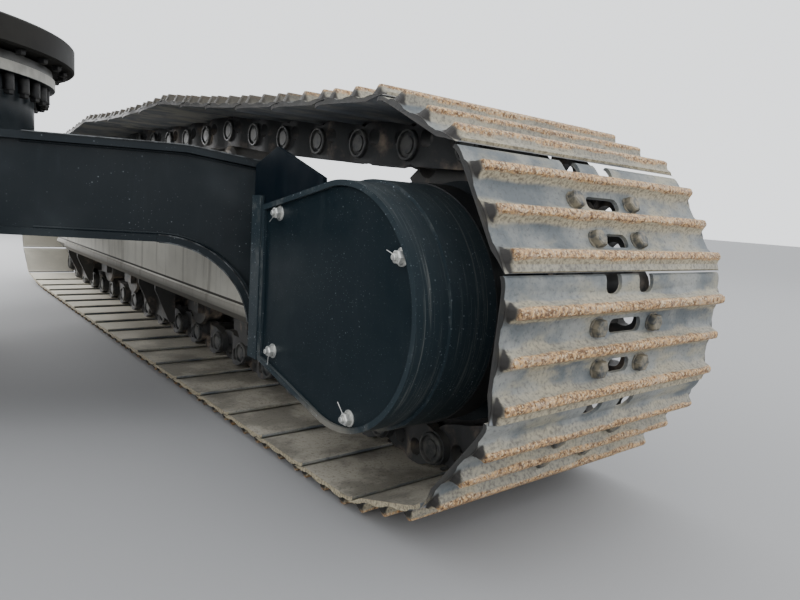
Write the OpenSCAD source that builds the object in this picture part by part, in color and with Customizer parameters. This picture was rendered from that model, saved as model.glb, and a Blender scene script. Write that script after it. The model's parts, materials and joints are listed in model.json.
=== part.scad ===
// Undercarriage of a crawler excavator: carbody, slewing ring and two track units.
// X is to the right, Y forward with the drive sprockets at the rear, Z up.
// The origin is on the ground, in the middle of the tracks' length and width.

/* [Track] */
// Pitch of the track chain, from pin to pin
pitch = 216; // [200:1:232]
// Teeth of the sprocket, two to each pitch that it takes up
teeth = 21; // [19:2:25]
// Distance from the sprocket's centre to the idler's
tumbler = 3778; // [3600:1:4400]
// Distance between the middles of the two tracks
gauge = 2590; // [2450:1:2900]
// Width of a shoe
shoe_w = 736; // [600:10:900]
// Height of the shoe's seat over the pins
seat_h = 60; // [54:1:66]
// Thickness of the shoe's plate
plate_t = 9; // [8:1:16]
// Height of the grouser bars over the plate
bar_h = 28; // [15:1:40]
// Radius of the pin circle round the idler
idler_pin_r = 340; // [310:1:380]
// Height that the idler is carried over the ground run
idler_lift = 12; // [0:1:30]
// Height of the top run over the sprocket, at the carrier rollers
carrier_lift = 92; // [40:1:120]
// Sag of the top run between its carriers
run_sag = 14; // [4:1:20]
// Chain length from the sprocket's lowest point to the first pin
pin_phase = 3.6; // [0:0.1:200]

/* [Chain rail] */
// Depth of the rail under the pins, to its running face
rail_depth = 53; // [46:1:58]
// Width of each rail
rail_w = 48; // [36:1:56]
// Gap between the two rails
rail_gap = 108; // [96:1:124]

/* [Rollers] */
// Bottom rollers on each side
bottom_count = 7; // [5:1:9]
// Tread radius of a bottom roller
roller_r = 82; // [70:1:95]
// Flange height of a bottom roller over its tread
flange_h = 17; // [10:1:22]
// Tread radius of a carrier roller
carrier_r = 75; // [60:1:80]
// Distance of the first carrier roller from the sprocket
carrier_a = 1250; // [1000:1:1500]
// Distance of the second carrier roller from the sprocket
carrier_b = 2330; // [2000:1:2600]

/* [Track frame] */
// Height of the frame's underside
frame_z = 280; // [270:1:330]
// Height of the upright band along the frame's lower edge
band_h = 54; // [30:1:80]
// Height of the frame's ridge
ridge_z = 690; // [600:1:700]
// Half width of the ridge
ridge_half = 130; // [90:1:170]
// Distance of the lower edge from the chain's middle, on the inside
inner_half = 310; // [285:1:330]
// Distance of the lower edge from the chain's middle, on the outside
outer_half = 270; // [240:1:300]

/* [Final drive and guard] */
// Radius of the round motor guard
guard_r = 265; // [240:1:280]
// Depth of the motor guard from the drive plate to its lip
guard_depth = 200; // [150:1:230]
// Distance of the guard's straight front edge from the sprocket's axis
guard_front = 348; // [320:1:380]
// Thickness of the guard's wall
guard_wall = 12; // [8:1:18]
// Depth of the cover behind the guard's lip
cover_recess = 8; // [4:1:60]
// Width of the guard's front ring, from its lip to its step
guard_ring = 80; // [50:1:120]
// Height of the step behind the front ring
guard_step = 7; // [3:1:15]

/* [Carbody] */
// Height of the carbody's underside
belly_z = 540; // [480:1:600]
// Height of the carbody's top plate
deck_z = 808; // [760:1:860]
// Thickness of the carbody's plates
deck_t = 20; // [12:1:30]
// Overhang of the flanges over the legs' side walls
flange_lip = 25; // [10:1:40]
// Radius of the arch under the outer end of each leg
arch_r = 240; // [160:1:260]

/* [Slewing ring] */
// Depth of the tower's wall behind the edge of its flange
tower_inset = 71; // [60:1:90]
// Height of the top face of the tower's flange
tower_top = 1064; // [1000:1:1120]
// Overhang of the tower's flange beyond the joint of the two races
tower_flange_over = 26; // [16:1:40]
// Thickness of the tower's flange
tower_flange_t = 36; // [25:1:50]
// Thickness of the outer race, from its joint to its outer face
outer_race_w = 94; // [86:1:110]
// Height of the outer race
race_h = 86; // [70:1:100]
// Radius at which the two races meet
race_r = 674; // [664:1:684]
// Thickness of the inner race, from its joint to the roots of the gear
inner_race_w = 105; // [100:1:130]
// Module of the internal gear
gear_module = 12; // [10:1:12]
// Bolts on the circle that carries the upper frame
ring_bolts = 36; // [24:2:48]
// Distance of the upper frame's bolts from the edge of the ring
bolt_inset = 40; // [32:1:46]
// Radius of the bolt holes
bolt_hole_r = 13.5; // [10:0.5:16]

/* [Hidden] */
$fn = 96;
// Side values
right = 1;
left = -1;
rear = -1;
front = 1;
// Clearance left between pieces that only rest on each other
seat_gap = 0.3;
// Clearance between pieces that pass each other
pass_gap = 5;

// Chain path, seen from the side: Y from the sprocket's axis, Z from the ground
step_deg = 720 / teeth;
drive_pin_r = pitch / (2 * sin(step_deg / 2));
idler_step = 2 * asin(pitch / (2 * idler_pin_r));
pin_z = seat_h + plate_t + bar_h;
drive_z = pin_z + drive_pin_r;
idler_z = pin_z + idler_lift + idler_pin_r;
run_z = drive_z + drive_pin_r + carrier_lift;
rise_deg = atan((carrier_lift - 4 * run_sag) / carrier_a);
fall = run_z - idler_z - idler_pin_r;
fall_deg = atan((fall - 4 * run_sag) / (tumbler - carrier_b));
first_roller = 560;
last_roller = tumbler - 470;
arc_steps = 72;
span_steps = 12;

// Chain length carried by one millimetre of arc on a pin circle of radius r
function chain_share(r) = pitch / (2 * asin(pitch / (2 * r)) * PI / 180 * r);
// Points on an arc of the pin circle, from angle a to angle b
function arc_points(c, r, a, b) =
  [for (i = [0:arc_steps]) let (t = a + (b - a) * i / arc_steps) c + r * [cos(t), sin(t)]];
// Points on a sagging span from a towards b, without b itself
function span_points(a, b) =
  [for (i = [1:span_steps - 1]) let (t = i / span_steps) a + (b - a) * t - [0, 4 * run_sag * t * (1 - t)]];
drive_wrap = arc_points([0, drive_z], drive_pin_r, 270, 90 + rise_deg);
idler_wrap = arc_points([tumbler, idler_z], idler_pin_r, 90 - fall_deg, -90);
carrier_points = [[carrier_a, run_z], [carrier_b, run_z]];
top_run = concat(
  span_points(drive_wrap[arc_steps], carrier_points[0]), [carrier_points[0]],
  span_points(carrier_points[0], carrier_points[1]), [carrier_points[1]],
  span_points(carrier_points[1], idler_wrap[0])
);
path = concat(drive_wrap, top_run, idler_wrap, [[last_roller + pitch, pin_z], [0, pin_z]]);
path_share = [for (i = [0:len(path) - 1])
  i < arc_steps ? chain_share(drive_pin_r) :
  i > len(drive_wrap) + len(top_run) - 1 && i < len(path) - 3 ? chain_share(idler_pin_r) : 1];
path_s = [for (i = 0, s = 0; i < len(path);
  s = s + (i + 1 < len(path) ? norm(path[i + 1] - path[i]) * path_share[i] : 0), i = i + 1) s];
path_y = [for (i = [0:len(path) - 1]) [path_s[i], path[i][0]]];
path_z = [for (i = [0:len(path) - 1]) [path_s[i], path[i][1]]];
chain_length = path_s[len(path) - 1];
links = round(chain_length / pitch);
pins = [for (k = [0:links]) let (s = (pin_phase + k * chain_length / links) % chain_length)
  [lookup(s, path_y), lookup(s, path_z)]];

// Shoe profile: u along the chain against its count, h outwards from the pins
bar_step = 84;
bar_half = 6;
bar_foot = 42;
shoe_lead = 142;
shoe_trail = 112;
lip_t = 2;
lip_rise = 1.5;
lip_foot = 101;
seat_end = 34;
lap = 13;
tip_h = seat_h + plate_t + bar_h;
// The thin leading lip slides under the raised trailing edge of the next shoe
shoe_profile = [
  [-shoe_lead, seat_h + lip_rise], [-shoe_lead, seat_h + lip_rise + lip_t],
  [-lip_foot, seat_h + lip_rise + 2 * lip_t],
  [-bar_step - bar_half, tip_h], [-bar_step + bar_half, tip_h], [-bar_foot, seat_h + plate_t],
  [-bar_half, tip_h], [bar_half, tip_h], [bar_foot, seat_h + plate_t],
  [bar_step - bar_half, tip_h], [bar_step + bar_half, tip_h],
  [shoe_trail, seat_h + lap + plate_t], [shoe_trail, seat_h + lap], [seat_end, seat_h],
  [-lip_foot, seat_h]
];
// A profile point of the shoe between pins k and k + 1, placed on the path
function on_link(k, q) = let (
  a = pins[k], b = pins[k + 1], t = (b - a) / norm(b - a)
) (a + b) / 2 - q[0] * t + q[1] * [-t[1], t[0]];
shoe_ys = [for (k = [0:links - 1], q = shoe_profile) on_link(k, q)[0]];
drive_y = -(max(shoe_ys) + min(shoe_ys)) / 2;

// Chain rail outline: one corner at each pin where the chain turns
function turn_at(k) = let (
  a = pins[(k + links - 1) % links], b = pins[k], c = pins[k + 1]
) atan2(c[1] - b[1], c[0] - b[0]) - atan2(b[1] - a[1], b[0] - a[0]);
function bisector(k) = let (
  a = pins[(k + links - 1) % links], b = pins[k], c = pins[k + 1],
  n = (b - a) / norm(b - a) + (c - b) / norm(c - b), m = n / norm(n),
  half = acos(min(1, norm(n) / 2))
) [-m[1], m[0]] / cos(half);
bends = [for (k = [0:links - 1]) if (abs(turn_at(k)) > 0.05) k];
function rail_outline(h) = [for (k = bends) pins[k] + h * bisector(k)];

// Heights and radii that follow from the chain
idler_tread_r = idler_pin_r * cos(idler_step / 2) - rail_depth - seat_gap;
idler_centre_r = idler_tread_r + 20;
idler_centre_half = 38;
idler_hub_r = 120;
idler_shaft_r = 45;
yoke_gap = 74;
roller_z = pin_z + rail_depth + roller_r + seat_gap;
carrier_z = run_z - rail_depth - carrier_r - 2;
rail_out = rail_gap / 2 + rail_w;
roller_half = rail_out + 46;
channel_half = roller_half - 22;
roller_step = (last_roller - first_roller) / (bottom_count - 1);

// Track frame section: X from the chain's middle, outwards
band_z = frame_z + band_h;
frame_rear = 430;
frame_front = tumbler - 480;
section = [
  [-inner_half, frame_z], [-inner_half, band_z], [-ridge_half, ridge_z], [ridge_half, ridge_z],
  [outer_half, band_z], [outer_half, frame_z]
];
// Height of the frame's inner slope at x
function slope_z(x) = band_z + (x + inner_half) * (ridge_z - band_z) / (inner_half - ridge_half);
fork_in = 176;
fork_out = 226;
fork_half_h = 80;
fork_taper = 150;
fork_over = 90;
guide_y = 1640;
guide_length = 240;
guide_half = roller_half + 16;
guide_t = 12;
guide_z = 118;

// Drive plate and guard
drive_plate_out = -150;
drive_plate_t = 65;
drive_plate_in = drive_plate_out - drive_plate_t;
drive_plate_r = guard_r + guard_step + 3;
drive_plate_front = guard_front + 90;
guard_lip = drive_plate_in - guard_depth;
guard_top = 199;
guard_bottom = -193;
cover_t = 8;
front_flange = 48;
front_flange_t = 16;
front_flange_out = 4;
front_flange_top = guard_top + 23;
gusset_in = 4;
gusset_t = 10;
gusset_front = guard_front + front_flange + 4;
gusset_front_top = 297;
gusset_peak = guard_front - 59;
gusset_peak_top = 339;
gusset_rear = 78;
gusset_rear_top = 268;
// Outline corner where a line from point p nearly touches the circle of radius r, on side s
tangent_bite = 0.6;
function tangent_point(p, r, s) = let (
  a = atan2(p[1], p[0]) + s * acos((r - tangent_bite) / norm(p))
) (r - tangent_bite) * [cos(a), sin(a)];

// Legs: plan lines run from the carbody's centre to the frame, as they are at the rear right
leg_x0 = 300;
leg_foot = 55;
leg_x1 = gauge / 2 - inner_half + leg_foot;
leg_rear_y0 = 986;
leg_rear_y1 = 1313;
leg_front_y0 = 414;
leg_front_y1 = 830;
arch_foot = 15;
arch_x = gauge / 2 - inner_half - arch_foot;
droop = 35;
droop_run = 185;
droop_x = gauge / 2 - inner_half - droop_run;
// Length of the blocks that cut the legs, longer than the carbody
cut_y = 2 * leg_rear_y1;
tower_flange_r = race_r + tower_flange_over;
tower_r = tower_flange_r - tower_inset;
deck_margin = 51;
centre_r = tower_r + deck_margin;
centre_notch = 170;
well_r = 230;

// Slewing ring
race_lift = 34;
race_chamfer = 6;
race_z = tower_top + race_lift;
ring_r = race_r + outer_race_w;
bolt_circle_r = ring_r - bolt_inset;
tower_wall = 32;
tower_flange_lip = 20;
ring_top = race_z + race_h;
inner_race_top = ring_top - 14;
race_gap = pass_gap;
seal_gap = 0.8;
gear_teeth = floor((race_r - inner_race_w) * 2 / gear_module - 2.5);
gear_pitch_r = gear_teeth * gear_module / 2;
gear_tip_r = gear_pitch_r - gear_module;
gear_root_r = gear_pitch_r + 1.25 * gear_module;
tooth_deg = 360 / gear_teeth;
gear_flank = 20;
gear_half = PI * gear_module / 4;
function polar(r, a) = r * [cos(a), sin(a)];
// Half angle of a gap between teeth at radius r, straight flanks
function gap_deg(r) = (gear_half - (r - gear_pitch_r) * tan(gear_flank)) / r * 180 / PI;
gear_outline = [for (i = [0:gear_teeth - 1]) let (a = i * tooth_deg) each [
  polar(gear_tip_r, a - gap_deg(gear_tip_r)), polar(gear_root_r, a - gap_deg(gear_root_r)),
  polar(gear_root_r, a + gap_deg(gear_root_r)), polar(gear_tip_r, a + gap_deg(gear_tip_r))]];

// Puts a track unit's piece in place: X from the chain's middle, Y from the sprocket
module at_side(side) {
  mirror([side == left ? 1 : 0, 0, 0]) translate([gauge / 2, drive_y, 0]) children();
}
// Extrudes a side outline (Y, Z) from x0 to x1
module along_x(x0, x1) {
  translate([x0, 0, 0]) rotate([90, 0, 90]) linear_extrude(x1 - x0) children();
}
// Extrudes a section (X, Z) from y0 to y1
module along_y(y0, y1) {
  translate([0, y1, 0]) rotate([90, 0, 0]) linear_extrude(y1 - y0) children();
}
// A round body about the X axis from a half section of [x, radius] points
module round_x(points) {
  rotate([0, 90, 0]) rotate_extrude() polygon([for (p = points) [p[1], p[0]]]);
}

module leg_plan(grow) {
  polygon([
    [leg_x0, -leg_rear_y0 - grow], [leg_x1, -leg_rear_y1 - grow],
    [leg_x1, -leg_front_y1 + grow], [leg_x0, -leg_front_y0 + grow]
  ]);
}
module centre_plan(grow) {
  circle(centre_r + grow);
  polygon([
    [-leg_x0, -leg_rear_y0 - grow], [0, centre_notch - leg_rear_y0 - grow], [leg_x0, -leg_rear_y0 - grow],
    [leg_x0, leg_rear_y0 + grow], [0, leg_rear_y0 - centre_notch + grow], [-leg_x0, leg_rear_y0 + grow]
  ]);
}
// Space under the arched bottom flange, grown by e
module under_arch(e) {
  translate([0, -cut_y, 0]) cube([arch_x - arch_r, 2 * cut_y, belly_z + e]);
  translate([arch_x - arch_r, cut_y, belly_z - arch_r]) rotate([90, 0, 0])
    cylinder(r = arch_r + e, h = 2 * cut_y);
  translate([0, -cut_y, 0]) cube([arch_x + e, 2 * cut_y, belly_z - arch_r]);
}
module leg_side(e) {
  frame_x = gauge / 2 - inner_half;
  difference() {
    along_y(-cut_y, 0) polygon([
      [0, frame_z + 20], [frame_x, frame_z + 20], [frame_x, band_z],
      [leg_x1, slope_z(leg_x1 - gauge / 2)], [leg_x1, deck_z - droop - e], [droop_x, deck_z - e], [0, deck_z - e]
    ]);
    under_arch(e);
  }
}
module leg(side, end) {
  color("#17191c")
  mirror([side == left ? 1 : 0, 0, 0]) mirror([0, end == front ? 1 : 0, 0])
  difference() {
    union() {
      intersection() {
        leg_side(0);
        linear_extrude(2 * deck_z) leg_plan(0);
      }
      intersection() {
        difference() {
          leg_side(0);
          leg_side(deck_t);
        }
        linear_extrude(2 * deck_z) leg_plan(flange_lip);
      }
    }
    linear_extrude(2 * deck_z) centre_plan(0);
  }
}
module carbody_centre() {
  color("#17191c")
  difference() {
    translate([0, 0, belly_z]) linear_extrude(deck_z - belly_z) centre_plan(0);
    translate([0, 0, belly_z + deck_t]) cylinder(r = well_r, h = deck_z);
  }
}
module belly_cover() {
  color("#1d2023")
  translate([0, 0, belly_z - 10]) cylinder(r = well_r + 40, h = 10);
}
module tower() {
  flange_under = tower_top - tower_flange_t - deck_z;
  tower_bore_r = tower_r - tower_wall - tower_flange_lip;
  color("#1b1e21")
  translate([0, 0, deck_z]) rotate_extrude() polygon([
    [tower_r - tower_wall, 0], [tower_r, 0], [tower_r, flange_under],
    [tower_flange_r, flange_under], [tower_flange_r, tower_top - deck_z],
    [tower_bore_r, tower_top - deck_z], [tower_bore_r, flange_under],
    [tower_r - tower_wall, flange_under]
  ]);
}
module swivel_joint() {
  color("#3a3d40")
  translate([0, 0, belly_z + deck_t]) {
    cylinder(r = 150, h = 20);
    cylinder(r = 95, h = 190);
    translate([0, 0, 190]) cylinder(r = 112, h = 60);
    for (a = [0:45:315]) rotate([0, 0, a]) translate([88, 0, 110]) rotate([0, 90, 0]) cylinder(r = 16, h = 38);
  }
}
module inner_race() {
  color("#4b4e50")
  difference() {
    union() {
      translate([0, 0, tower_top]) cylinder(r = race_r - race_gap / 2, h = inner_race_top - tower_top);
      translate([0, 0, tower_top]) cylinder(r = tower_flange_r - 8, h = race_z - tower_top - 6);
    }
    translate([0, 0, tower_top - 1]) linear_extrude(inner_race_top - tower_top + 2) polygon(gear_outline);
  }
}
module outer_race() {
  color("#3c3f42")
  difference() {
    translate([0, 0, race_z]) rotate_extrude() polygon([
      [race_r - race_gap / 2 + seal_gap, 8], [race_r + race_gap / 2, 8], [race_r + race_gap / 2, 0],
      [ring_r - race_chamfer, 0], [ring_r, race_chamfer],
      [ring_r, race_h - race_chamfer], [ring_r - race_chamfer, race_h],
      [race_r + race_gap / 2, race_h], [race_r + race_gap / 2, 20], [race_r - race_gap / 2 + seal_gap, 20]
    ]);
    for (i = [0:ring_bolts - 1]) rotate([0, 0, (i + 0.5) * 360 / ring_bolts])
      translate([bolt_circle_r, 0, race_z - 1]) cylinder(r = bolt_hole_r, h = race_h + 2);
  }
}

module side_frame(side) {
  color("#8d897e")
  at_side(side) {
    difference() {
      along_y(frame_rear, frame_front) polygon(section);
      // The rollers' channel, open below
      translate([-channel_half, frame_rear - 1, frame_z - 1])
        cube([2 * channel_half, frame_front - frame_rear + 2, roller_z + roller_r + flange_h + 8 - frame_z + 1]);
      // The idler's recoil rod enters the frame's front end
      translate([0, frame_front - 60, idler_z]) rotate([-90, 0, 0]) cylinder(r = 90, h = 80);
    }
    for (s = [-1, 1]) along_x(s < 0 ? -fork_out : fork_in, s < 0 ? -fork_in : fork_out) polygon([
      [frame_front - 10, idler_z - fork_half_h - 40], [tumbler - fork_taper, idler_z - fork_half_h],
      [tumbler + fork_over, idler_z - fork_half_h], [tumbler + fork_over, idler_z + fork_half_h],
      [tumbler - fork_taper, idler_z + fork_half_h], [frame_front - 10, idler_z + fork_half_h + 70]
    ]);
    // Drive plate: a round end, blended forwards into the frame
    along_x(drive_plate_in, drive_plate_out) {
      translate([0, drive_z]) circle(drive_plate_r);
      translate([0, drive_z]) polygon([
        tangent_point([drive_plate_front, guard_top], drive_plate_r, 1), [drive_plate_front, guard_top],
        [drive_plate_front, frame_z - drive_z],
        tangent_point([drive_plate_front, frame_z - drive_z], drive_plate_r, -1)
      ]);
    }
  }
}
module track_guides(side) {
  color("#26282a")
  at_side(side) for (s = [-1, 1], y = [guide_y, frame_front - guide_length - 20]) {
    edge = s < 0 ? inner_half : outer_half;
    for (yy = [y, y + guide_length - guide_t]) along_y(yy, yy + guide_t) polygon([
      [s * edge, frame_z], [s * (guide_half + guide_t), frame_z], [s * (guide_half + guide_t), guide_z],
      [s * (guide_half + 2 * guide_t), guide_z], [s * edge, frame_z - 20]
    ]);
    along_y(y, y + guide_length) polygon([
      [s * guide_half, frame_z], [s * (guide_half + guide_t), frame_z],
      [s * (guide_half + guide_t), guide_z], [s * guide_half, guide_z]
    ]);
  }
}
module shoes(side) {
  color("#6f7276")
  at_side(side) along_x(-shoe_w / 2, shoe_w / 2)
    for (k = [0:links - 1]) polygon([for (q = shoe_profile) on_link(k, q)]);
}
module chain(side) {
  color("#3b332c")
  at_side(side) for (x = [-rail_out, rail_gap / 2]) along_x(x, x + rail_w) difference() {
    polygon(rail_outline(seat_h - seat_gap));
    polygon(rail_outline(-rail_depth));
  }
}
module sprocket(side) {
  color("#45464a")
  at_side(side) translate([0, 0, drive_z]) {
    tooth_half = rail_gap / 2 - 8;
    gap_r = 34;
    rotate([pin_phase / pitch * -step_deg, 0, 0]) difference() {
      translate([-tooth_half, 0, 0]) rotate([0, 90, 0]) cylinder(r = drive_pin_r + 10, h = 2 * tooth_half);
      translate([-tooth_half - 1, 0, 0]) rotate([0, 90, 0]) cylinder(r = 216, h = 2 * tooth_half + 2);
      for (i = [0:teeth - 1]) rotate([i * 360 / teeth, 0, 0])
        translate([-tooth_half - 1, 0, -drive_pin_r]) rotate([0, 90, 0])
          cylinder(r = gap_r, h = 2 * tooth_half + 2, $fn = 32);
    }
  }
}
module final_drive(side) {
  color("#1f2225")
  at_side(side) translate([0, 0, drive_z]) {
    tooth_half = rail_gap / 2 - 8;
    round_x([
      [drive_plate_out, 0], [drive_plate_out, 236], [-108, 236], [-96, 215], [-76, 215], [-76, 288],
      [-tooth_half, 288], [-tooth_half, 215.5], [112, 215.5], [118, 205], [118, 190], [150, 178],
      [166, 120], [166, 62], [176, 58], [176, 0]
    ]);
  }
}
// The guard's form from x0 to x1, its outline drawn in by inset
module guard_form(x0, x1, inset) {
  r = guard_r - inset;
  top = [guard_front - inset, guard_top - inset * 0.9];
  bottom = [guard_front - inset, guard_bottom + inset * 0.9];
  along_x(x0, x1) circle(r);
  along_x(x0, x1) polygon([tangent_point(top, r, 1), top, bottom, tangent_point(bottom, r, -1), [0, 0]]);
}
module motor_guard(side) {
  color("#101214")
  at_side(side) translate([0, 0, drive_z]) {
    difference() {
      union() {
        guard_form(guard_lip, guard_lip + guard_ring, 0);
        guard_form(guard_lip + guard_ring, drive_plate_in, -guard_step);
      }
      guard_form(guard_lip - 1, drive_plate_in + 1, guard_wall);
    }
    front_flange();
  }
}
// Upright flange on the guard's straight front edge
module front_flange() {
  translate([guard_lip - front_flange_out, guard_front, guard_bottom])
    cube([front_flange_t, front_flange, front_flange_top - guard_bottom]);
}
module guard_cover(side) {
  color("#0d0f11")
  at_side(side) translate([0, 0, drive_z])
    guard_form(guard_lip + cover_recess, guard_lip + cover_recess + cover_t, guard_wall);
}
// Five-sided plate over the hoses, standing on the guard and on its front flange
module hose_gusset(side) {
  color("#101214")
  at_side(side) translate([0, 0, drive_z]) difference() {
    along_x(guard_lip + gusset_in, guard_lip + gusset_in + gusset_t) polygon([
      [guard_front, guard_top - guard_wall], [guard_front, front_flange_top], [gusset_front, front_flange_top],
      [gusset_front, gusset_front_top], [gusset_peak, gusset_peak_top], [gusset_rear, gusset_rear_top],
      [gusset_rear, guard_top]
    ]);
    guard_form(guard_lip, guard_lip + guard_ring, 0);
  }
}
module idler(side) {
  color("#3d3a37")
  at_side(side) translate([0, tumbler, idler_z]) round_x([
    [-rail_out - 2, idler_shaft_r], [-rail_out - 2, idler_hub_r], [-rail_out + 6, idler_hub_r + 30],
    [-rail_out + 2, idler_tread_r - 34], [-rail_out, idler_tread_r], [3 - rail_gap / 2, idler_tread_r],
    [-idler_centre_half, idler_centre_r], [idler_centre_half, idler_centre_r],
    [rail_gap / 2 - 3, idler_tread_r], [rail_out, idler_tread_r], [rail_out - 2, idler_tread_r - 34],
    [rail_out - 6, idler_hub_r + 30], [rail_out + 2, idler_hub_r], [rail_out + 2, idler_shaft_r]
  ]);
}
module idler_yoke(side) {
  color("#2a2c2e")
  at_side(side) translate([0, tumbler, idler_z]) {
    block_in = rail_out + 8;
    block_out = fork_in - seat_gap;
    yoke_y = -idler_centre_r - yoke_gap;
    translate([-block_out, 0, 0]) rotate([0, 90, 0]) cylinder(r = idler_shaft_r - seat_gap, h = 2 * block_out);
    for (s = [-1, 1]) translate([s < 0 ? -block_out : block_in, 0, 0]) {
      translate([0, -85, -70]) cube([block_out - block_in, 170, 140]);
      translate([0, yoke_y, -40]) cube([block_out - block_in, idler_centre_r, 80]);
    }
    translate([-block_out, yoke_y, -55]) cube([2 * block_out, 50, 110]);
    // The recoil rod ends in the pocket of the frame's front end
    translate([0, yoke_y + 1, 0]) rotate([90, 0, 0])
      cylinder(r = 60, h = tumbler - frame_front + 1 + yoke_y + 60 - seat_gap);
  }
}
module bottom_rollers(side) {
  color("#2b2c2d")
  at_side(side) for (i = [0:bottom_count - 1]) translate([0, first_roller + i * roller_step, roller_z]) {
    tread_in = rail_gap / 2 - 6;
    tread_out = rail_out + 4;
    round_x([
      [-roller_half, 0], [-roller_half, 34], [-tread_out - 18, 34], [-tread_out - 18, roller_r + flange_h - 6],
      [-tread_out - 6, roller_r + flange_h], [-tread_out, roller_r], [-tread_in, roller_r], [-tread_in + 12, 62],
      [tread_in - 12, 62], [tread_in, roller_r], [tread_out, roller_r], [tread_out + 6, roller_r + flange_h],
      [tread_out + 18, roller_r + flange_h - 6], [tread_out + 18, 34], [roller_half, 34], [roller_half, 0]
    ]);
    for (x = [-roller_half, roller_half - 22]) translate([x, -55, -40])
      cube([22, 110, frame_z - roller_z + 40]);
  }
}
module carrier_rollers(side) {
  color("#2b2c2d")
  at_side(side) for (y = [carrier_a, carrier_b]) translate([0, y, carrier_z]) round_x([
    [-rail_out - 40, 0], [-rail_out - 40, 30], [-rail_out - 12, 30], [-rail_out - 12, 58], [-rail_out - 4, carrier_r],
    [rail_out + 4, carrier_r], [rail_out + 12, 58], [rail_out + 12, 40], [rail_out + 26, 40], [rail_out + 26, 0]
  ]);
}
module carrier_posts(side) {
  color("#8d897e")
  at_side(side) for (y = [carrier_a, carrier_b]) difference() {
    x_in = -rail_out - 38;
    x_out = -rail_out - 78;
    along_y(y - 50, y + 50) polygon([
      [x_out - 30, slope_z(x_out - 30)], [x_in, slope_z(x_in)], [x_in, carrier_z + 48], [x_out, carrier_z + 48]
    ]);
    translate([x_out - 1, y, carrier_z]) rotate([0, 90, 0]) cylinder(r = 30.3, h = 60);
  }
}

carbody_centre();
leg(right, rear);  // rear_right_leg
leg(left, rear);  // rear_left_leg
leg(right, front);  // front_right_leg
leg(left, front);  // front_left_leg
belly_cover();
tower();
swivel_joint();
inner_race();
outer_race();
side_frame(right);  // right_side_frame
side_frame(left);  // left_side_frame
track_guides(right);  // right_track_guides
track_guides(left);  // left_track_guides
shoes(right);  // right_shoes
shoes(left);  // left_shoes
chain(right);  // right_chain
chain(left);  // left_chain
sprocket(right);  // right_sprocket
sprocket(left);  // left_sprocket
final_drive(right);  // right_final_drive
final_drive(left);  // left_final_drive
motor_guard(right);  // right_motor_guard
motor_guard(left);  // left_motor_guard
guard_cover(right);  // right_guard_cover
guard_cover(left);  // left_guard_cover
hose_gusset(right);  // right_hose_gusset
hose_gusset(left);  // left_hose_gusset
idler(right);  // right_idler
idler(left);  // left_idler
idler_yoke(right);  // right_idler_yoke
idler_yoke(left);  // left_idler_yoke
bottom_rollers(right);  // right_bottom_rollers
bottom_rollers(left);  // left_bottom_rollers
carrier_rollers(right);  // right_carrier_rollers
carrier_rollers(left);  // left_carrier_rollers
carrier_posts(right);  // right_carrier_posts
carrier_posts(left);  // left_carrier_posts
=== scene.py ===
# %% [markdown]
# # The undercarriage of a crawler excavator
# A crawler's undercarriage is a welded carbody on two track units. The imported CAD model
# gives every solid its place. This script dresses it: worn steel shoes, cast chain links,
# bolts and welds, black paint with dust. Lengths in the tables are in millimetres and are
# turned to metres once, where a mesh is made.

# %% Load the frame
import json
import math

import bpy
import numpy as np
from mathutils import Matrix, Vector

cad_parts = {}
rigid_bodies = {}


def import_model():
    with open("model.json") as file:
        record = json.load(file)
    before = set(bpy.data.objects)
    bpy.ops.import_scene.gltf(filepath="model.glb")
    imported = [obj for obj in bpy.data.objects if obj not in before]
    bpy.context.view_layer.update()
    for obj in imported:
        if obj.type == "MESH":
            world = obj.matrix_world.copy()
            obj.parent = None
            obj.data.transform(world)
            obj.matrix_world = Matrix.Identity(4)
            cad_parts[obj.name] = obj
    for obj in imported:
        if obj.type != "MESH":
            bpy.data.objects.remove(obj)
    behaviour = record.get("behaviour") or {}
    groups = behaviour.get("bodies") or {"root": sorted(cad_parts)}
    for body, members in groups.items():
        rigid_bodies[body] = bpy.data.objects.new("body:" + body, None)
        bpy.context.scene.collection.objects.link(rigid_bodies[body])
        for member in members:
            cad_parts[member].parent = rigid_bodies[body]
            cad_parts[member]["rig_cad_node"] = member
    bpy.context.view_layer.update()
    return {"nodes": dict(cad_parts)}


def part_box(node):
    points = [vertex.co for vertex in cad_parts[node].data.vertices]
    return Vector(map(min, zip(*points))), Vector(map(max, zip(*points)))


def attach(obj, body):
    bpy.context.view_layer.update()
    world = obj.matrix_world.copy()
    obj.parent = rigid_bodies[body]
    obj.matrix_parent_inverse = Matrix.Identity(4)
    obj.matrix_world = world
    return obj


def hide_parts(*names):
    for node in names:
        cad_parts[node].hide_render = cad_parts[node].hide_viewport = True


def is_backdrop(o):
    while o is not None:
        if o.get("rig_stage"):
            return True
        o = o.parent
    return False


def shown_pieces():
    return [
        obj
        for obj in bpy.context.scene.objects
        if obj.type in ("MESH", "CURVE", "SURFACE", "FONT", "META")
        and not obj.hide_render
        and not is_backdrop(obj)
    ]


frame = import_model()
nodes = frame["nodes"]
mm = 0.001

# %% [markdown]
# ## The camera
# The photograph was taken from between the tracks, near the drive end, with a wide lens.
# Three angles turn the camera: yaw to the right of straight ahead, pitch below the
# horizon, and a small roll.

# %% Camera
picture_w = 800
focal_px = 643.49
sensor_w = 36.0
camera_place = (0.1418, -2.9980, 0.6800)
yaw, pitch_down, roll = 0.68359, 0.14298, 0.06870


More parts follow.
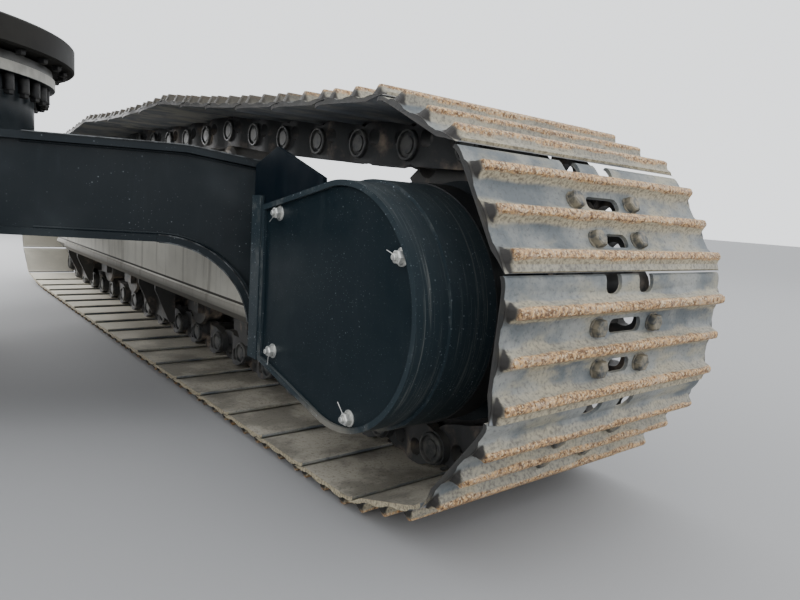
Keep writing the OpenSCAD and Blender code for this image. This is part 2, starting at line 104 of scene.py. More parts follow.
def camera_axes(yaw, pitch_down, roll):
    """Right, up and forward of a camera that is turned by yaw, then tilted, then rolled."""
    forward = np.array([
        math.sin(yaw) * math.cos(pitch_down),
        math.cos(yaw) * math.cos(pitch_down),
        -math.sin(pitch_down),
    ])
    level = np.array([math.cos(yaw), -math.sin(yaw), 0.0])
    upright = np.cross(level, forward)
    right = math.cos(roll) * level + math.sin(roll) * upright
    up = math.cos(roll) * upright - math.sin(roll) * level
    return right, up, forward


def placing(x_axis, y_axis, z_axis, place):
    """An object's matrix: its three axes and its place are the four columns."""
    matrix = np.eye(4)
    matrix[:3] = np.column_stack([x_axis, y_axis, z_axis, place])
    return Matrix(matrix.tolist())


right_axis, up_axis, forward_axis = camera_axes(yaw, pitch_down, roll)
camera_data = bpy.data.cameras.new("camera")
camera_data.sensor_width = sensor_w
camera_data.lens = sensor_w * focal_px / picture_w
camera_data.clip_end = 200
camera = bpy.data.objects.new("camera", camera_data)
camera.matrix_world = placing(right_axis, up_axis, -forward_axis, camera_place)
bpy.context.scene.collection.objects.link(camera)
bpy.context.scene.camera = camera
print("lens", round(camera_data.lens, 2), "mm")

# %% [markdown]
# ## Floor and light
# The real machine stood on gravel under a bright hazy sky. A plain pale floor and a few
# large soft lights stand in for them. A sun lamp would draw hard shadows, so every light is
# a wide area light. The strongest stands low beyond the front end and lights the arch of
# the leg and the ground run of the track. The others fill in from above and all round.

# %% Floor and lights
floor_mesh = bpy.data.meshes.new("floor")
floor_half = 40.0
floor_mesh.from_pydata(
    [(-floor_half, -floor_half, 0), (floor_half, -floor_half, 0),
     (floor_half, floor_half, 0), (-floor_half, floor_half, 0)],
    [], [(0, 1, 2, 3)],
)
floor = bpy.data.objects.new("floor", floor_mesh)
bpy.context.scene.collection.objects.link(floor)
floor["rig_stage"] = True

world = bpy.data.worlds.new("studio")
world.use_nodes = True
world.node_tree.nodes["Background"].inputs["Color"].default_value = (0.95, 0.975, 1.0, 1)
world.node_tree.nodes["Background"].inputs["Strength"].default_value = 1.8
bpy.context.scene.world = world


def area_light(name, place, target, size, power):
    """A square soft light that looks from place towards target."""
    data = bpy.data.lights.new(name, "AREA")
    data.shape = "SQUARE"
    data.size = size
    data.energy = power
    light = bpy.data.objects.new(name, data)
    back = np.array(place, float) - np.array(target, float)
    back /= np.linalg.norm(back)
    side = np.cross([0, 0, 1], back)
    side /= np.linalg.norm(side)
    light.matrix_world = placing(side, np.cross(back, side), back, place)
    bpy.context.scene.collection.objects.link(light)
    print(name, power, "W")


area_light("sky_above", (3.0, -1.5, 8.5), (0.9, -0.8, 0.4), 6.0, 110)
area_light("sky_right", (8.0, -4.5, 4.5), (1.3, -1.6, 0.5), 5.0, 110)
area_light("sky_behind", (5.0, -9.0, 3.0), (1.2, -1.8, 0.5), 4.0, 60)
area_light("sky_left", (-6.0, -5.0, 3.5), (0.6, -1.0, 0.4), 5.0, 60)
area_light("sky_front", (-1.2, 5.5, 2.4), (0.95, 0.5, 0.2), 3.0, 420)

# %% [markdown]
# ## Shader building blocks
# Materials are node trees. `place_node` adds one node and plugs values or links into it, so
# that each material below reads like a list of steps. Effects that several finishes share
# are node groups: dust on faces that look up, fine specks, and rust in patches.

# %% Node helpers
def place_node(tree, kind, inputs=None, **settings):
    """Adds a node; an input is a plain value, or a socket of another node to link from."""
    made = tree.nodes.new(kind)
    for key, value in settings.items():
        setattr(made, key, value)
    for key, value in (inputs or {}).items():
        if isinstance(value, bpy.types.NodeSocket):
            tree.links.new(value, made.inputs[key])
        else:
            made.inputs[key].default_value = value
    return made


def new_group(name, sockets_in, sockets_out):
    """An empty shader group with its named inputs and outputs."""
    tree = bpy.data.node_groups.new(name, "ShaderNodeTree")
    for label, kind, value in sockets_in:
        socket = tree.interface.new_socket(name=label, in_out="INPUT", socket_type=kind)
        if value is not None:
            socket.default_value = value
    for label, kind in sockets_out:
        tree.interface.new_socket(name=label, in_out="OUTPUT", socket_type=kind)
    print("shader group", name)
    return tree, tree.nodes.new("NodeGroupInput"), tree.nodes.new("NodeGroupOutput")


def ramp(tree, value, low, high, out_low=0.0, out_high=1.0):
    """A smooth step: values from low to high become out_low to out_high."""
    return place_node(tree, "ShaderNodeMapRange", {
        "Value": value, "From Min": low, "From Max": high, "To Min": out_low, "To Max": out_high,
    }, interpolation_type="SMOOTHSTEP").outputs["Result"]


def mixed(tree, amount, first, second):
    """Colour first where amount is 0 and second where it is 1."""
    return place_node(tree, "ShaderNodeMix", {0: amount, 6: first, 7: second}, data_type="RGBA").outputs[2]


def combined(tree, operation, first, second):
    """One value from two, by MULTIPLY, ADD, MAXIMUM or LESS_THAN."""
    return place_node(tree, "ShaderNodeMath", {0: first, 1: second}, operation=operation).outputs[0]


def split(tree, vector):
    """The X, Y and Z of a vector, as three sockets."""
    return place_node(tree, "ShaderNodeSeparateXYZ", {0: vector}).outputs


def upness(tree):
    """Z of the surface's normal: 1 on a floor, 0 on a wall and -1 on a ceiling."""
    return split(tree, place_node(tree, "ShaderNodeNewGeometry").outputs["Normal"])["Z"]


def noise(tree, vector, scale, detail=4.0, rough=0.55):
    """Clouds from 0 to 1: octaves of noise added up, each half as wide as the last."""
    return place_node(tree, "ShaderNodeTexNoise", {
        "Vector": vector, "Scale": scale, "Detail": detail, "Roughness": rough,
    }).outputs["Fac"]


# %% Dust group: a mask of dust that lies on faces that look up, broken up by noise
dust_group, g_in, g_out = new_group(
    "dust", [("Vector", "NodeSocketVector", None), ("Scale", "NodeSocketFloat", 6.0),
             ("Cover", "NodeSocketFloat", 0.5)],
    [("Mask", "NodeSocketFloat")],
)
lying = ramp(dust_group, upness(dust_group), -0.2, 0.9, 0.15, 1.0)
dust_clouds = noise(dust_group, g_in.outputs["Vector"], g_in.outputs["Scale"], 6.0, 0.65)
broken = ramp(dust_group, dust_clouds, 0.3, 0.7)
soft = place_node(dust_group, "ShaderNodeMath", {0: broken, 1: 0.6, 2: 0.4}, operation="MULTIPLY_ADD")
patchy_dust = combined(dust_group, "MULTIPLY", lying, soft.outputs[0])
covered = place_node(dust_group, "ShaderNodeMath", {0: patchy_dust, 1: g_in.outputs["Cover"]},
                     operation="MULTIPLY", use_clamp=True)
dust_group.links.new(covered.outputs[0], g_out.inputs["Mask"])

# %% Speck group: small bright points, one in some of the cells of a fine Voronoi pattern
speck_group, g_in, g_out = new_group(
    "specks", [("Vector", "NodeSocketVector", None), ("Scale", "NodeSocketFloat", 60.0),
               ("Share", "NodeSocketFloat", 0.12)],
    [("Mask", "NodeSocketFloat")],
)
cells = place_node(speck_group, "ShaderNodeTexVoronoi", {
    "Vector": g_in.outputs["Vector"], "Scale": g_in.outputs["Scale"],
})
spot = ramp(speck_group, cells.outputs["Distance"], 0.06, 0.17, 1.0, 0.0)
pick = split(speck_group, cells.outputs["Color"])["X"]
chosen = combined(speck_group, "LESS_THAN", pick, g_in.outputs["Share"])
speck_group.links.new(combined(speck_group, "MULTIPLY", spot, chosen), g_out.inputs["Mask"])

# %% Rust group: three browns mixed by two noises, with a mask of where rust breaks through
rust_group, g_in, g_out = new_group(
    "rust", [("Vector", "NodeSocketVector", None), ("Scale", "NodeSocketFloat", 12.0),
             ("Amount", "NodeSocketFloat", 0.5)],
    [("Color", "NodeSocketColor"), ("Mask", "NodeSocketFloat")],
)
dark_rust, brown_rust, tan_rust = (0.115, 0.068, 0.043, 1), (0.27, 0.175, 0.115, 1), (0.42, 0.325, 0.24, 1)
coarse = noise(rust_group, g_in.outputs["Vector"], g_in.outputs["Scale"], 5.0, 0.6)
finer = combined(rust_group, "MULTIPLY", g_in.outputs["Scale"], 7.0)
fine = noise(rust_group, g_in.outputs["Vector"], finer, 4.0, 0.7)
browns = mixed(rust_group, ramp(rust_group, fine, 0.35, 0.65), dark_rust, brown_rust)
browns = mixed(rust_group, ramp(rust_group, coarse, 0.42, 0.68), browns, tan_rust)
over = combined(rust_group, "ADD", coarse, g_in.outputs["Amount"])
rust_group.links.new(browns, g_out.inputs["Color"])
rust_group.links.new(ramp(rust_group, over, 0.85, 1.15), g_out.inputs["Mask"])


# %% Material helpers
def new_material(name):
    """A material with only its Principled shader, and the tree to build in."""
    made = bpy.data.materials.new(name)
    made.use_nodes = True
    print("material", name)
    return made, made.node_tree, made.node_tree.nodes["Principled BSDF"]


def in_group(tree, group, **inputs):
    """Places a shader group in a material and gives its outputs."""
    return place_node(tree, "ShaderNodeGroup", inputs, node_tree=group).outputs


def object_vector(tree):
    """Each point's place on the unturned object, in metres, so that patterns stay on the piece."""
    return place_node(tree, "ShaderNodeTexCoord").outputs["Object"]


def bumped(tree, shader, height, strength, distance=0.002):
    """Feeds a height through a Bump node into the shader's normal."""
    bump = place_node(tree, "ShaderNodeBump", {"Strength": strength, "Distance": distance, "Height": height})
    tree.links.new(bump.outputs["Normal"], shader.inputs["Normal"])


def stretched(tree, vector, scale):
    """A vector times one scale for each axis, which draws a noise out into streaks."""
    return place_node(tree, "ShaderNodeMapping", {"Vector": vector, "Scale": scale}).outputs["Vector"]


# %% [markdown]
# ## Black paint
# Guards, legs and tower wear one satin black coat. Close up it isn't plain: grit has left
# pale specks, rain has drawn faint streaks down the plates, and dust greys what looks up.
# Lighter patches over the paint are a painted sheen.
# One function mixes these layers over each other, and each part gets its own amounts. The
# guard also shows rings of wear round its shell and a splashed bottom.


# %% Black paint
def black_paint(name, base, specks, dust_cover, rough, rings=0.0, clouds=0.6):
    """Base, streaks, patches of painted sheen, rings and splashes, dust, specks: each mixed over the last by
    its mask.
    """
    made, tree, shader = new_material(name)
    where = object_vector(tree)
    streaks = noise(tree, stretched(tree, where, (9, 9, 1.6)), 3.0, 5.0, 0.6)
    tint = mixed(tree, ramp(tree, streaks, 0.5, 0.85, 0, 0.35), (*base, 1), (0.018, 0.027, 0.033, 1))
    # Painted sheen: lighter patches stand in for the glossy reflections of the paint, as strong as clouds
    # sets
    patches = noise(tree, where, 1.7, 4.0, 0.6)
    tint = mixed(tree, ramp(tree, patches, 0.48, 0.70, 0, clouds), tint, (0.036, 0.045, 0.050, 1))
    if rings:
        brushed = noise(tree, stretched(tree, where, (70, 1.5, 1.5)), 2.0, 5.0, 0.75)
        tint = mixed(tree, ramp(tree, brushed, 0.52, 0.68, 0, rings), tint, (0.190, 0.195, 0.185, 1))
        over_splash = ramp(tree, split(tree, where)["Z"], 0.17, 0.31)
        uneven = ramp(tree, brushed, 0.35, 0.6, 1.0, 0.5)
        splashed = ramp(tree, combined(tree, "MULTIPLY", over_splash, uneven), 0.0, 0.35, 0.75, 0.0)
        tint = mixed(tree, splashed, tint, (0.210, 0.195, 0.160, 1))
    dusty = in_group(tree, dust_group, Vector=where, Scale=5.0, Cover=dust_cover)["Mask"]
    tint = mixed(tree, dusty, tint, (0.125, 0.128, 0.125, 1))
    small = in_group(tree, speck_group, Vector=where, Scale=70.0, Share=specks)["Mask"]
    tiny = in_group(tree, speck_group, Vector=where, Scale=160.0, Share=specks * 2)["Mask"]
    patchy = ramp(tree, noise(tree, where, 4.0, 3.0, 0.6), 0.4, 0.65, 0.1 + 0.4 * rings, 0.5 + rings)
    faded = combined(tree, "MULTIPLY", combined(tree, "MAXIMUM", small, tiny), patchy)
    tint = mixed(tree, faded, tint, (0.30, 0.34, 0.37, 1))
    tree.links.new(tint, shader.inputs["Base Color"])
    mottled = noise(tree, where, 9.0, 5.0, 0.6)
    tree.links.new(ramp(tree, mottled, 0.3, 0.7, rough - 0.05, rough + 0.10), shader.inputs["Roughness"])
    shader.inputs["Specular IOR Level"].default_value = 0.20
    bumped(tree, shader, noise(tree, where, 90.0, 3.0, 0.5), 0.06, 0.001)
    return made


paint = black_paint("black_paint", (0.0040, 0.0085, 0.0120), 0.16, 0.13, 0.34)
cover_paint = black_paint("cover_paint", (0.0050, 0.0120, 0.0165), 0.10, 0.03, 0.38)
# The gusset's paint is a darker copy of the black paint: painted shade, for the shade it lies in
gusset_shade_paint = black_paint("gusset_shade_paint", (0.0010, 0.0045, 0.0085), 0.04, 0.02, 0.34, clouds=0.1)
guard_paint = black_paint("guard_paint", (0.0140, 0.0250, 0.0320), 0.60, 0.20, 0.42, 0.5)

# %% [markdown]
# ## Dusty paint
# The track frames are painted too, but mud and dust cover them. Water has run down their
# walls and left upright streaks, a dark band lies just over the ledge, and towards the drive end
# the bare paint shows. All of it follows the place on the object, so one material does it.
# The inner walls get a lighter copy of it: painted light.


# %% Dusty frame paint
def frame_paint_material(name, light, dark):
    """Dust clouds from light to dark, then streaks, a dark band over the ledge, the ledge and lower edge,
    each by its mask.
    """
    made, tree, shader = new_material(name)
    where = object_vector(tree)
    spot = split(tree, where)
    streaks = noise(tree, stretched(tree, where, (2.0, 10, 0.8)), 2.4, 6.0, 0.7)
    patches = noise(tree, where, 2.5, 6.0, 0.6)
    dust = mixed(tree, ramp(tree, patches, 0.35, 0.7), (*light, 1), (*dark, 1))
    dust = mixed(tree, ramp(tree, streaks, 0.34, 0.50, 0.5, 0.0), dust, (0.24, 0.22, 0.18, 1))
    # A dark band fills a few millimetres over the ledge; heights are in metres above the ground
    below = ramp(tree, spot["Z"], 0.3585, 0.3605, 1.0, 0.0)
    above = ramp(tree, spot["Z"], 0.3510, 0.3520)
    dust = mixed(tree, combined(tree, "MULTIPLY", below, above), dust, (0.040, 0.034, 0.028, 1))
    ledge = ramp(tree, spot["Z"], 0.345, 0.351, 0.6, 0.0)
    dust = mixed(tree, ledge, dust, (0.150, 0.135, 0.112, 1))
    low_edge = ramp(tree, spot["Z"], 0.324, 0.340, 0.55, 0.0)
    dust = mixed(tree, low_edge, dust, (0.085, 0.080, 0.070, 1))
    rear_y = drive_y * mm
    from_drive = ramp(tree, spot["Y"], rear_y + 0.42, rear_y + 0.62)
    tint = mixed(tree, from_drive, (0.011, 0.012, 0.013, 1), dust)
    tree.links.new(tint, shader.inputs["Base Color"])
    tree.links.new(ramp(tree, from_drive, 0, 1, 0.42, 0.8), shader.inputs["Roughness"])
    bumped(tree, shader, noise(tree, where, 60.0, 6.0, 0.6), 0.15, 0.002)
    return made


# %% [markdown]
# ## Worn shoe steel
# A shoe carries its own colours: rust and tan on the tips of the bars that meet the
# ground, blue-grey rolled steel in the valleys, dried mud along the roots. Painted shade
# darkens the run overhead and, with the steel's own dark, the cut ends of the bars; the
# ground run is painted lighter further forward, a painted light. Each point of the mesh
# stores where it lies on its shoe, in an attribute, so that one material can paint all
# ninety shoes.


# %% Shoe steel
def shoe_steel_material():
    """Layers by height on the shoe, by distance from its ends, and by the shoe's place on the track."""
    made, tree, shader = new_material("shoe_steel")
    where = object_vector(tree)
    on_shoe = place_node(tree, "ShaderNodeAttribute", attribute_name="on_shoe").outputs["Vector"]
    stored, spot = split(tree, on_shoe), split(tree, where)
    depth, from_end, height = stored["X"], stored["Y"], stored["Z"]
    along_y, level, lifted = spot["Y"], spot["Z"], upness(tree)
    rolled = noise(tree, where, 7.0, 6.0, 0.6)
    grain = noise(tree, where, 150.0, 3.0, 0.6)
    scuffs = noise(tree, stretched(tree, where, (1.0, 2.4, 2.4)), 8.0, 4.0, 0.55)
    # Rolled plate: blue-grey and grey clouds, golden scuffs and dark grain
    plate = mixed(tree, ramp(tree, rolled, 0.38, 0.62), (0.105, 0.120, 0.130, 1), (0.250, 0.257, 0.245, 1))
    plate = mixed(tree, ramp(tree, scuffs, 0.45, 0.68, 0, 0.6), plate, (0.340, 0.312, 0.225, 1))
    plate = mixed(tree, ramp(tree, grain, 0.50, 0.72, 0, 0.5), plate, (0.060, 0.063, 0.068, 1))
    # Dried earth on the bars' flanks, most where they look down
    worn_edge = combined(tree, "ADD", height, ramp(tree, scuffs, 0.3, 0.7, -0.004, 0.004))
    root = ramp(tree, worn_edge, 0.069, 0.077, 0.0, 0.9)
    earth = mixed(tree, ramp(tree, grain, 0.38, 0.66), (0.460, 0.400, 0.275, 1), (0.200, 0.168, 0.118, 1))
    sheltered = combined(tree, "MULTIPLY", root, ramp(tree, lifted, -0.45, 0.15, 1.0, 0.5))
    flank = mixed(tree, sheltered, plate, earth)
    # Rusty tips of the bars, with dark pits and pale scratches
    rust = in_group(tree, rust_group, Vector=where, Scale=14.0, Amount=0.5)["Color"]
    speckled = mixed(tree, ramp(tree, grain, 0.40, 0.60), rust, (0.52, 0.320, 0.145, 1))
    pits = ramp(tree, noise(tree, where, 120.0, 3.0, 0.6), 0.50, 0.60, 0, 0.85)
    speckled = mixed(tree, pits, speckled, (0.110, 0.055, 0.026, 1))
    scratches = ramp(tree, noise(tree, where, 230.0, 2.0, 0.5), 0.56, 0.62, 0, 0.45)
    speckled = mixed(tree, scratches, speckled, (0.84, 0.71, 0.48, 1))
    tint = mixed(tree, ramp(tree, worn_edge, 0.087, 0.092), flank, speckled)
    # Dark cut ends of the bars, partly their own dark steel and partly painted shade, and painted shade on
    # the run overhead, away from the sprocket
    near_end = ramp(tree, from_end, 0.011, 0.016, 1.0, 0.0)
    cut_end_and_shade = combined(tree, "MULTIPLY", near_end, ramp(tree, height, 0.070, 0.074))
    tint = mixed(tree, cut_end_and_shade, tint, (0.032, 0.030, 0.028, 1))
    # Painted shade: the run overhead, away from the sprocket, is darkened for the shade that falls on it
    on_top = ramp(tree, level, 0.86, 0.95, 0, 0.94)
    top_run_shade = combined(tree, "MULTIPLY", on_top, ramp(tree, along_y, -1.75, -1.45))
    tint = mixed(tree, top_run_shade, tint, (0.050, 0.045, 0.037, 1))
    # Inner side: mud where it looks up, painted lighter further forward, and bare steel where it looks down
    mud = mixed(tree, ramp(tree, rolled, 0.4, 0.6), (0.230, 0.215, 0.180, 1), (0.430, 0.400, 0.335, 1))
    mud = mixed(tree, ramp(tree, grain, 0.5, 0.72, 0, 0.5), mud, (0.085, 0.072, 0.060, 1))
    # Painted light: the mud pales towards the front, where more light falls on the ground run
    mud = mixed(tree, ramp(tree, along_y, -1.0, 0.6, 0, 0.7), mud, (0.68, 0.64, 0.54, 1))
    bare = mixed(tree, ramp(tree, scuffs, 0.4, 0.65), (0.20, 0.215, 0.24, 1), (0.38, 0.37, 0.35, 1))
    inside = mixed(tree, ramp(tree, lifted, -0.2, 0.3), bare, mud)
    tint = mixed(tree, ramp(tree, depth, 0.0008, 0.003, 1.0, 0.0), tint, inside)
    # Ends of the plate: earth near the ground, and dark above it, partly the steel's own and partly painted
    # shade
    end_earth_and_shade = mixed(tree, ramp(tree, level, 0.09, 0.16), earth, (0.018, 0.017, 0.016, 1))
    tint = mixed(tree, ramp(tree, from_end, 0.0002, 0.002, 0.9, 0.0), tint, end_earth_and_shade)
    tree.links.new(tint, shader.inputs["Base Color"])
    tree.links.new(ramp(tree, rolled, 0.3, 0.7, 0.50, 0.74), shader.inputs["Roughness"])
    shader.inputs["Specular IOR Level"].default_value = 0.22
    rougher_tips = ramp(tree, height, 0.06, 0.095, 0.4, 1.0)
    rough = combined(tree, "MULTIPLY", noise(tree, where, 45.0, 6.0, 0.7), rougher_tips)
    bumped(tree, shader, rough, 0.5, 0.004)
    return made


# %% [markdown]
# ## Iron and plain metals
# Links, rollers and sprockets are dark castings with mud in their corners and a little
# rust, so they share the rust and dust groups. Bolts and rings are small or far away: one
# noise that varies tint and roughness is enough for them.


# %% Cast iron and plain metals
def chain_iron_material(name, dark, dusty, dust_cover):
    """Dark iron, rust over it by the rust mask, and dust over both by the dust mask."""
    made, tree, shader = new_material(name)
    where = object_vector(tree)
    rust = in_group(tree, rust_group, Vector=where, Scale=10.0, Amount=0.34)
    base = mixed(tree, rust["Mask"], dark, rust["Color"])
    mud = in_group(tree, dust_group, Vector=where, Scale=14.0, Cover=dust_cover)["Mask"]
    tree.links.new(mixed(tree, mud, base, dusty), shader.inputs["Base Color"])
    shader.inputs["Roughness"].default_value = 0.62
    bumped(tree, shader, noise(tree, where, 70.0, 5.0, 0.65), 0.35, 0.003)
    return made


def metal(name, low, high, rough, metallic, scale=20.0, bump=0.1, shine=0.5):
    """A tint from low to high and a roughness about rough by one noise, and a bump six times finer."""
    made, tree, shader = new_material(name)
    where = object_vector(tree)
    cloud = noise(tree, where, scale, 5.0, 0.6)
    tint = mixed(tree, ramp(tree, cloud, 0.35, 0.65), (*low, 1), (*high, 1))
    tree.links.new(tint, shader.inputs["Base Color"])
    tree.links.new(ramp(tree, cloud, 0.3, 0.7, rough - 0.06, rough + 0.08), shader.inputs["Roughness"])
    shader.inputs["Metallic"].default_value = metallic
    shader.inputs["Specular IOR Level"].default_value = shine
    bumped(tree, shader, noise(tree, where, scale * 6, 3.0, 0.6), bump, 0.001)
    return made


# The ring steel's near-black tone is partly its own and partly painted shade, for the shade of the machine's
# upper body, which is left out
ring_steel = metal("ring_steel", (0.009, 0.0085, 0.008), (0.020, 0.019, 0.017), 0.60, 0.0, 6.0, 0.1, 0.1)
gear_steel = metal("gear_steel", (0.045, 0.045, 0.044), (0.11, 0.108, 0.10), 0.42, 0.4, 8.0)
flange_steel = metal("flange_steel", (0.20, 0.195, 0.175), (0.33, 0.32, 0.285), 0.55, 0.0, 12.0)
zinc = metal("zinc", (0.42, 0.43, 0.42), (0.62, 0.62, 0.58), 0.42, 0.6, 60.0)
dark_bolt = metal("dark_bolt", (0.009, 0.009, 0.010), (0.034, 0.033, 0.031), 0.5, 0.0, 40.0, 0.1, 0.25)
# Bright edge line: partly bare steel where the paint has chipped, partly a painted highlight on the flange's
# edges
edge_highlight_chips = metal("edge_highlight_chips", (0.005, 0.006, 0.007), (0.11, 0.12, 0.125), 0.5, 0.0, 34.0)
eye_steel = metal("eye_steel", (0.045, 0.048, 0.051), (0.13, 0.128, 0.12), 0.5, 0.25, 30.0, 0.3)
worn_bolt = metal("worn_bolt", (0.050, 0.055, 0.058), (0.215, 0.190, 0.140), 0.6, 0.0, 60.0, 0.5, 0.3)

floor_material, tree, shader = new_material("floor")
shader.inputs["Base Color"].default_value = (0.30, 0.30, 0.305, 1)
shader.inputs["Roughness"].default_value = 0.85
floor.data.materials.append(floor_material)

# %% [markdown]
# ## The path of the chain
# A chain is a closed row of pins, one pitch apart. It wraps the sprocket, hangs over two
# carrier rollers, wraps the idler and lies flat on the ground. The path here follows the
# same sizes as the CAD model, so each dressed shoe lands on its CAD twin.

# %% Sizes of the track
pitch = 216.0
teeth = 21
# From the sprocket's axis to the idler's, and from the middle of one track to the other's
tumbler = 3778.0
gauge = 2590.0
shoe_w = 736.0
# Height of a shoe's seat over the pins, thickness of its plate, height of its bars
seat_h, plate_t, bar_h = 60.0, 9.0, 28.0
idler_pin_r, idler_lift = 340.0, 12.0
# Rise of the top run over the sprocket, sag of its spans, and places of the carrier rollers
carrier_lift, run_sag = 92.0, 14.0
carrier_a, carrier_b = 1250.0, 2330.0
# Length of chain from the path's start to the first pin
pin_phase = 3.6
last_roller = tumbler - 470.0
drive_pin_r = pitch / (2 * math.sin(math.pi * 2 / teeth))
pin_z = seat_h + plate_t + bar_h
drive_z = pin_z + drive_pin_r
idler_z = pin_z + idler_lift + idler_pin_r
run_z = drive_z + drive_pin_r + carrier_lift
hub_low, hub_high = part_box("right_final_drive")
drive_y = (hub_low.y + hub_high.y) / 2 / mm
print("sprocket axis at y", round(drive_y, 2), "mm, z", round(drive_z, 2), "mm")

# %% Materials of frames, shoes and castings
frame_paint = frame_paint_material("frame_paint", (0.36, 0.345, 0.30), (0.25, 0.24, 0.205))
# The inner walls get a lighter copy of the frame paint: painted light, for the light that falls on them
lit_wall_paint = frame_paint_material("lit_wall_paint", (0.68, 0.66, 0.585), (0.52, 0.50, 0.435))
shoe_steel = shoe_steel_material()
chain_iron = chain_iron_material("chain_iron", (0.034, 0.036, 0.039, 1), (0.150, 0.142, 0.128, 1), 0.7)
roller_iron = chain_iron_material("roller_iron", (0.040, 0.040, 0.040, 1), (0.18, 0.165, 0.14, 1), 0.5)

# %% Pins
def arc(centre, radius, start, end, steps=72):
    """Points at radius round centre, from angle start to angle end in degrees."""
    t = np.radians(np.linspace(start, end, steps + 1))
    return centre + radius * np.column_stack([np.cos(t), np.sin(t)])


def hanging(a, b, steps=12):
    """A span from a towards b that hangs by a parabola 4 t (1 - t) times its sag."""
    t = (np.arange(1, steps) / steps)[:, None]
    return a + (b - a) * t - np.array([0, 1]) * 4 * run_sag * t * (1 - t)


def chain_share(radius):
    """Links are chords, so an arc on a pin circle holds slightly more chain than its length."""
    return pitch / (2 * math.asin(pitch / (2 * radius)) * radius)


def pin_places():
    """Pins (y, z) along the closed path, spaced by equal lengths of chain."""
    rise = math.degrees(math.atan((carrier_lift - 4 * run_sag) / carrier_a))
    fall = math.degrees(math.atan((run_z - idler_z - idler_pin_r - 4 * run_sag) / (tumbler - carrier_b)))
    drive = arc(np.array([0, drive_z]), drive_pin_r, 270, 90 + rise)
    idler = arc(np.array([tumbler, idler_z]), idler_pin_r, 90 - fall, -90)
    first, second = np.array([carrier_a, run_z]), np.array([carrier_b, run_z])
    top = np.vstack([hanging(drive[-1], first), [first], hanging(first, second), [second],
                     hanging(second, idler[0])])
    path = np.vstack([drive, top, idler, [[last_roller + pitch, pin_z], [0, pin_z]]])
    step = np.linalg.norm(np.diff(path, axis=0), axis=1)
    order = np.arange(len(step))
    step = np.where(order < len(drive) - 1, step * chain_share(drive_pin_r), step)
    on_idler = (order > len(drive) + len(top) - 1) & (order < len(path) - 3)
    step = np.where(on_idler, step * chain_share(idler_pin_r), step)
    run = np.concatenate([[0], np.cumsum(step)])
    count = round(run[-1] / pitch)
    at = (pin_phase + np.arange(count + 1) * run[-1] / count) % run[-1]
    return np.column_stack([np.interp(at, run, path[:, 0]), np.interp(at, run, path[:, 1])])


pins = pin_places()
link_start, link_end = pins[:-1], pins[1:]
along = (link_end - link_start) / np.linalg.norm(link_end - link_start, axis=1)[:, None]
outward = np.column_stack([-along[:, 1], along[:, 0]])
middle = (link_start + link_end) / 2
link_count = len(middle)
print(link_count, "links, each", round(float(np.linalg.norm(link_end - link_start, axis=1).mean()), 2), "mm")

# %% [markdown]
# ## Meshes from arrays
# Every new piece is a table of points and a table of faces. `new_piece` turns them into a
# Blender object that rides on its CAD body. `turned_solid` makes round things from a half
# profile, and `swept` carries a closed section along a path.

# %% Mesh helpers
def new_piece(name, points, faces, material, slot, body="undercarriage", smooth=32, on_shoe=None):
    """An object at the origin from points in millimetres and lists of corner numbers."""
    mesh = bpy.data.meshes.new(name)
    mesh.from_pydata((np.asarray(points) * mm).tolist(), [], faces)
    mesh.validate()
    mesh.polygons.foreach_set("use_smooth", np.ones(len(mesh.polygons), bool))
    mesh.set_sharp_from_angle(angle=math.radians(smooth))
    if on_shoe is not None:
        stored = mesh.attributes.new("on_shoe", "FLOAT_VECTOR", "POINT")
        stored.data.foreach_set("vector", (np.asarray(on_shoe) * mm).astype(np.float32).ravel())
    mesh.materials.append(material)
    made = bpy.data.objects.new(name, mesh)
    bpy.context.scene.collection.objects.link(made)
    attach(made, body)
    print(name, len(mesh.polygons), "faces")
    return made


def joined(parts):
    """One table of points and one of faces from several."""
    points, faces, offset = [], [], 0
    for part_points, part_faces in parts:
        points.append(np.asarray(part_points, float))
        faces.extend([[corner + offset for corner in face] for face in part_faces])
        offset += len(part_points)
    return np.vstack(points), faces


def ring_faces(rings, around):
    """Quads between neighbouring rings of around points each, from point j to j + 1 on both."""
    i, j = np.meshgrid(np.arange(rings - 1), np.arange(around), indexing="ij")
    k = (j + 1) % around
    corners = [i * around + j, i * around + k, (i + 1) * around + k, (i + 1) * around + j]
    return np.stack(corners, -1).reshape(-1, 4).tolist()


def tube_faces(rings, around):
    """The quads between the rings, and one flat face over each end."""
    last = (rings - 1) * around
    return ring_faces(rings, around) + [list(range(around))[::-1], [last + k for k in range(around)]]


def flipped(faces):
    """Faces of a mirrored shape: every loop runs the other way, so that it looks outwards again."""
    return [face[::-1] for face in faces]


def turned_solid(profile, segments):
    """A closed body round Z: each (z, radius) of the profile becomes a circle of points."""
    profile = np.asarray(profile, float)
    t = np.arange(segments) * 2 * math.pi / segments
    radius, z = profile[:, 1][:, None], profile[:, 0][:, None]
    points = np.stack([radius * np.cos(t), radius * np.sin(t), z + 0 * t], -1).reshape(-1, 3)
    return points, tube_faces(len(profile), segments)


def stood(points, place, axis):
    """Turns the Z axis to the given axis and moves the origin to place."""
    axis = np.asarray(axis, float) / np.linalg.norm(axis)
    helper = np.array([0, 0, 1.0]) if abs(axis[2]) < 0.9 else np.array([1.0, 0, 0])
    side = np.cross(helper, axis)
    side /= np.linalg.norm(side)
    return np.asarray(points) @ np.array([side, np.cross(axis, side), axis]) + np.asarray(place, float)


def spread(count, shift=0.0):
    """Cosine and sine of count equal steps round a circle, begun at a share of one step."""
    a = 2 * math.pi * (np.arange(count) + shift) / count
    return np.column_stack([np.cos(a), np.sin(a)])


